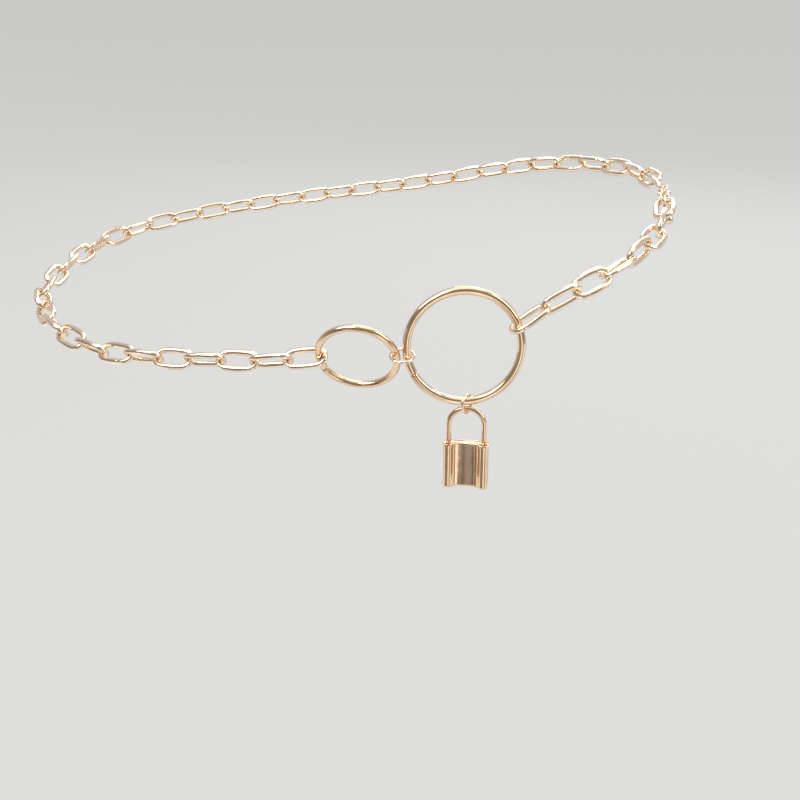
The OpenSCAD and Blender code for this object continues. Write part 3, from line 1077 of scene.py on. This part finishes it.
class CHAIN_OT_studio(bpy.types.Operator):
    """Builds the pale floor, the soft lights and the camera"""

    bl_idname = "chain.studio"
    bl_label = "Studio"

    def execute(self, context):
        setup = context.scene.studio_setup
        self.floor(setup)
        self.cards(setup)
        self.room(setup)
        self.lamps()
        self.camera(setup)
        return {"FINISHED"}

    def floor(self, setup):
        """The floor, and the wall that bends up from its edge in the same paper."""
        paint = glowing_paint("pale_paper", setup.floor_colour, 0.9, (1, 0.995, 0.985), setup.floor_glow)
        flat = [(0.0, 0.0), (0.5 * FLOOR_RADIUS, 0.0), (FLOOR_RADIUS, 0.0)]
        bend = [(FLOOR_RADIUS + WALL_BEND * s, WALL_BEND * (1 - c)) for c, s in quarter(BEND_STEPS)]
        bend.append((FLOOR_RADIUS + WALL_BEND, WALL_HEIGHT))
        floor = self.turned_sheet("studio_floor", flat, setup.floor_height, paint)
        floor.visible_glossy = False
        wall = self.turned_sheet("studio_wall", bend, setup.floor_height, paint)
        wall.visible_diffuse = wall.visible_glossy = wall.visible_shadow = False

    def cards(self, setup):
        """Upright cards that only the polish sees, which give it the lines of a real room."""
        low, high = setup.floor_height - CARD_BELOW, setup.floor_height + CARD_ABOVE
        for name, start, end, glow, tint in CARDS:
            mesh = bpy.data.meshes.new(name)
            mesh.from_pydata([(*start, low), (*end, low), (*end, high), (*start, high)], [], [(0, 1, 2, 3)])
            mesh.materials.append(glowing_paint(name, (0.02, 0.02, 0.02), 0.95, tint, glow))
            card = add_object(name, mesh)
            card.visible_camera = card.visible_diffuse = card.visible_shadow = False

    def turned_sheet(self, name, profile, height, paint):
        """A sheet turned round the upright axis from a profile of (radius, height) points."""
        sheet = bmesh.new()
        rings = []
        for radius, z in profile:
            if radius == 0:
                rings.append([sheet.verts.new((0, 0, z + height))] * FLOOR_TURNS)
            else:
                around = circle(FLOOR_TURNS)
                rings.append([sheet.verts.new((radius * c, radius * s, z + height)) for c, s in around])
        for here, after in zip(rings, rings[1:]):
            for s in range(FLOOR_TURNS):
                t = (s + 1) % FLOOR_TURNS
                corners = [here[s], after[s], after[t]]
                if here[s] is not here[t]:
                    corners.append(here[t])
                sheet.faces.new(corners)
        mesh = mesh_from(name, sheet)
        mesh.shade_smooth()
        mesh.materials.append(paint)
        piece = add_object(name, mesh)
        return piece

    def room(self, setup):
        """The light from all round, brightest overhead, with a dimmer room in front of the paper."""
        world = bpy.data.worlds.new("studio_air")
        bpy.context.scene.world = world
        world.use_nodes = True
        nodes, links = world.node_tree.nodes, world.node_tree.links
        back = nodes["Background"]
        back.inputs["Strength"].default_value = setup.room_light
        where = nodes.new("ShaderNodeTexCoord")
        split = nodes.new("ShaderNodeSeparateXYZ")
        links.new(where.outputs["Generated"], split.inputs["Vector"])
        rise = nodes.new("ShaderNodeMapRange")
        rise.inputs["From Min"].default_value = -1.0
        links.new(split.outputs["Z"], rise.inputs["Value"])
        side = nodes.new("ShaderNodeMapRange")
        side.interpolation_type = "SMOOTHSTEP"
        side.inputs["From Min"].default_value = -0.33
        side.inputs["From Max"].default_value = 0.4
        links.new(split.outputs["Y"], side.inputs["Value"])
        blend = nodes.new("ShaderNodeMixRGB")
        links.new(side.outputs["Result"], blend.inputs["Fac"])
        links.new(blend.outputs["Color"], back.inputs["Color"])
        for heights, socket in ((ROOM_LIGHT, "Color1"), (PAPER_LIGHT, "Color2")):
            ramp = nodes.new("ShaderNodeValToRGB")
            links.new(rise.outputs["Result"], ramp.inputs["Fac"])
            links.new(ramp.outputs["Color"], blend.inputs[socket])
            stops = ramp.color_ramp.elements
            for k, (height, grey) in enumerate(heights):
                if k < 2:
                    stop = stops[k]
                    stop.position = (height + 1) / 2
                else:
                    stop = stops.new((height + 1) / 2)
                stop.color = (grey, grey, grey, 1)

    def lamps(self):
        """Large soft lights that point at the middle of the loop."""
        for name, spot, size, power, colour in LAMPS:
            lamp = bpy.data.lights.new(name, "AREA")
            lamp.shape = "RECTANGLE"
            lamp.size, lamp.size_y = size
            lamp.energy = power
            lamp.color = colour
            holder = add_object(name, lamp)
            holder.location = spot
            holder.rotation_euler = Vector(spot).to_track_quat("Z", "Y").to_euler()

    def camera(self, setup):
        """The camera, at the angle of the reference view."""
        turn, tilt = setup.turn, setup.tilt
        right = Vector((math.cos(turn), math.sin(turn), 0))
        level = math.cos(tilt)
        view = Vector((-math.sin(turn) * level, math.cos(turn) * level, -math.sin(tilt)))
        up = right.cross(view)
        spot = -right * setup.aside - up * setup.above - view * setup.away
        camera = bpy.data.cameras.new("camera")
        camera.sensor_width = 36
        camera.lens = setup.lens
        camera.clip_start = 0.01
        holder = add_object("camera", camera)
        holder.matrix_world = seat(spot, right, up, -view)
        bpy.context.scene.camera = holder
        bpy.context.scene.view_settings.view_transform = "Standard"


class CHAIN_PT_panel(bpy.types.Panel):
    """Lists the sizes, the finish and the steps that build the waist chain"""

    bl_idname = "CHAIN_PT_panel"
    bl_label = "Waist chain"
    bl_space_type = "VIEW_3D"
    bl_region_type = "UI"
    bl_category = "Waist chain"

    def draw(self, context):
        scene = context.scene
        for title, group in (
            ("Links", scene.chain_sizes),
            ("Rings", scene.ring_sizes),
            ("Padlock", scene.lock_sizes),
            ("Finish", scene.chain_finish),
            ("Studio", scene.studio_setup),
        ):
            box = self.layout.box()
            box.label(text=title)
            for name in group.__annotations__:
                box.prop(group, name)
        for step in STEPS:
            self.layout.operator(step.bl_idname)


GROUPS = (
    ("chain_sizes", ChainSizes),
    ("ring_sizes", RingSizes),
    ("lock_sizes", LockSizes),
    ("chain_finish", ChainFinish),
    ("studio_setup", StudioSetup),
)
STEPS = (CHAIN_OT_links, CHAIN_OT_rings, CHAIN_OT_padlock, CHAIN_OT_closure, CHAIN_OT_studio)


def register():
    for name, group in GROUPS:
        bpy.utils.register_class(group)
        setattr(bpy.types.Scene, name, PointerProperty(type=group))
    for step in STEPS:
        bpy.utils.register_class(step)
    bpy.utils.register_class(CHAIN_PT_panel)


def unregister():
    bpy.utils.unregister_class(CHAIN_PT_panel)
    for step in reversed(STEPS):
        bpy.utils.unregister_class(step)
    for name, group in reversed(GROUPS):
        delattr(bpy.types.Scene, name)
        bpy.utils.unregister_class(group)


def main():
    register()
    bpy.ops.chain.links()
    bpy.ops.chain.rings()
    bpy.ops.chain.padlock()
    bpy.ops.chain.closure()
    bpy.ops.chain.studio()


if __name__ == "__main__":
    main()
